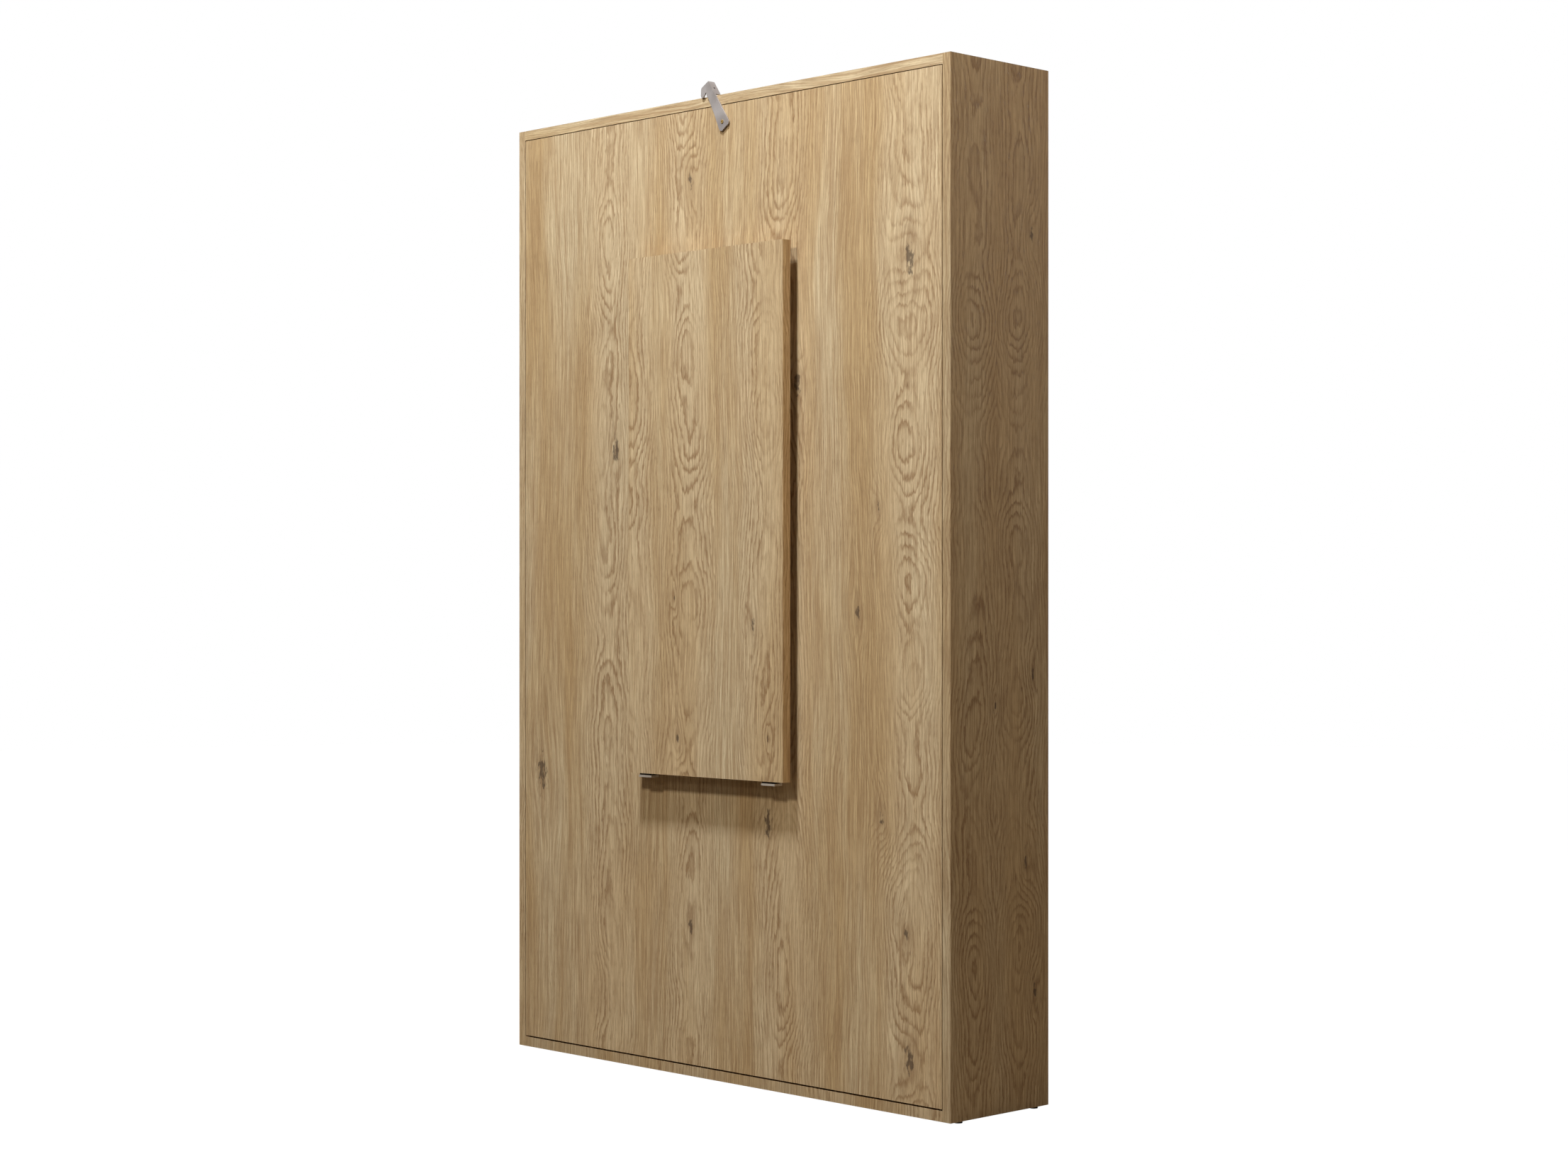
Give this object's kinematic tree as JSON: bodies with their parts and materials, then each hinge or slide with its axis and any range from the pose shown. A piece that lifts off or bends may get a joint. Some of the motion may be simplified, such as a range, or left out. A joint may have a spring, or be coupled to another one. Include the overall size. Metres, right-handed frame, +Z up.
{
  "type": "wall bed",
  "caption": "Vertical fold-down wall bed in a shallow oak cabinet, with mattress, gas struts, a parallel-arm support panel on its front and a swinging hook latch.",
  "frame": {"origin": "middle of the overall footprint, on the floor, with the bed folded up", "axes": "+X to the right when facing the front, +Y from the room towards the wall, +Z up"},
  "size_m": [1.39, 0.347, 2.2139],
  "materials": {
    "oak_decor": "satin",
    "frame_board": "matte",
    "beech": "satin",
    "zinc_steel": "satin",
    "grey_steel": "satin",
    "bright_steel": "polished",
    "bronze_screw": "satin",
    "black_plastic": "matte",
    "black_paint": "gloss",
    "rubber": "matte",
    "ticking": "matte",
    "webbing": "matte"
  },
  "bodies": {
    "cabinet": {"side_panel_left": "oak_decor", "side_panel_right": "oak_decor", "top_panel": "oak_decor", "bottom_panel": "oak_decor", "rear_rail_top": "oak_decor", "rear_rail_middle": "oak_decor", "rear_rail_bottom": "oak_decor", "cam_locks": "zinc_steel", "floor_glides": "black_plastic", "pivot_plate_left": "zinc_steel", "pivot_plate_right": "zinc_steel", "pivot_pins": "bright_steel", "strut_anchor_left": "zinc_steel", "strut_anchor_right": "zinc_steel", "stop_blocks": "frame_board", "bump_stops": "rubber", "catch_bracket": "zinc_steel", "cabinet_screws": "bright_steel"},
    "bed": {"front_panel": "oak_decor", "side_rail_left": "frame_board", "side_rail_right": "frame_board", "head_rail": "frame_board", "foot_rail": "frame_board", "cross_rails": "frame_board", "slats": "beech", "slat_holders": "black_plastic", "mattress": "ticking", "mattress_straps": "webbing", "strap_buckles": "black_plastic", "pivot_bracket_left": "zinc_steel", "pivot_bracket_right": "zinc_steel", "pivot_bushes": "black_plastic", "strut_stud_left": "zinc_steel", "strut_stud_right": "zinc_steel", "front_angles": "zinc_steel", "front_clevises": "zinc_steel", "front_clevis_pins": "bright_steel", "bed_screws": "bright_steel", "latch_screw": "bronze_screw", "latch_washer": "zinc_steel"},
    "lower_arms": {"arm_lower_left": "grey_steel", "arm_lower_right": "grey_steel"},
    "upper_arms": {"arm_upper_left": "grey_steel", "arm_upper_right": "grey_steel"},
    "support_leg": {"leg_panel": "oak_decor", "foot_bracket_left": "grey_steel", "foot_bracket_right": "grey_steel", "foot_pads": "rubber", "leg_clevises": "zinc_steel", "leg_pins": "bright_steel", "leg_screws": "bright_steel"},
    "strut_tube_left": {"strut_cylinder_left": "black_paint", "strut_eye_left": "black_plastic"},
    "strut_tube_right": {"strut_cylinder_right": "black_paint", "strut_eye_right": "black_plastic"},
    "strut_piston_left": {"strut_rod_left": "bright_steel"},
    "strut_piston_right": {"strut_rod_right": "bright_steel"},
    "latch": {"latch_hook": "grey_steel"}
  },
  "joints": [
    {"name": "bed_fold", "type": "hinge", "parent": "cabinet", "child": "bed", "pos_m": [0, -0.0955, 0.275], "axis": [1, 0, 0], "range_deg": [0, 90]},
    {"name": "lower_arm_swing", "type": "hinge", "parent": "bed", "child": "lower_arms", "pos_m": [0, -0.1415, 0.889], "axis": [1, 0, 0], "range_deg": [-90, 0]},
    {"name": "leg_hinge", "type": "hinge", "parent": "lower_arms", "child": "support_leg", "pos_m": [0, -0.1415, 0.692], "axis": [1, 0, 0], "range_deg": [0, 90]},
    {"name": "upper_arm_swing", "type": "hinge", "parent": "bed", "child": "upper_arms", "pos_m": [0, -0.1415, 1.78], "axis": [1, 0, 0], "range_deg": [-90, 0]},
    {"name": "strut_left_swing", "type": "hinge", "parent": "cabinet", "child": "strut_tube_left", "pos_m": [-0.654, 0.0545, 0.705], "axis": [1, 0, 0], "range_deg": [0, 10.23]},
    {"name": "strut_left_slide", "type": "slide", "parent": "strut_tube_left", "child": "strut_piston_left", "axis": [0, -0.1508, -0.9886], "range_m": [-0.22669, 0]},
    {"name": "strut_right_swing", "type": "hinge", "parent": "cabinet", "child": "strut_tube_right", "pos_m": [0.654, 0.0545, 0.705], "axis": [1, 0, 0], "range_deg": [0, 10.23]},
    {"name": "strut_right_slide", "type": "slide", "parent": "strut_tube_right", "child": "strut_piston_right", "axis": [0, -0.1508, -0.9886], "range_m": [-0.22669, 0]},
    {"name": "latch_swing", "type": "hinge", "parent": "bed", "child": "latch", "pos_m": [0.02, -0.1345, 2.119], "axis": [0, 1, 0], "range_deg": [0, 42]}
  ],
  "couplings": [
    {"joint": "lower_arm_swing", "follows": "bed_fold", "ratio": -1},
    {"joint": "leg_hinge", "follows": "bed_fold", "ratio": 1},
    {"joint": "upper_arm_swing", "follows": "bed_fold", "ratio": -1},
    {"joint": "strut_left_swing", "follows": "bed_fold", "ratio": 0.11357},
    {"joint": "strut_left_slide", "follows": "bed_fold", "m_per_rad": -0.14432},
    {"joint": "strut_right_swing", "follows": "bed_fold", "ratio": 0.11357},
    {"joint": "strut_right_slide", "follows": "bed_fold", "m_per_rad": -0.14432}
  ]
}
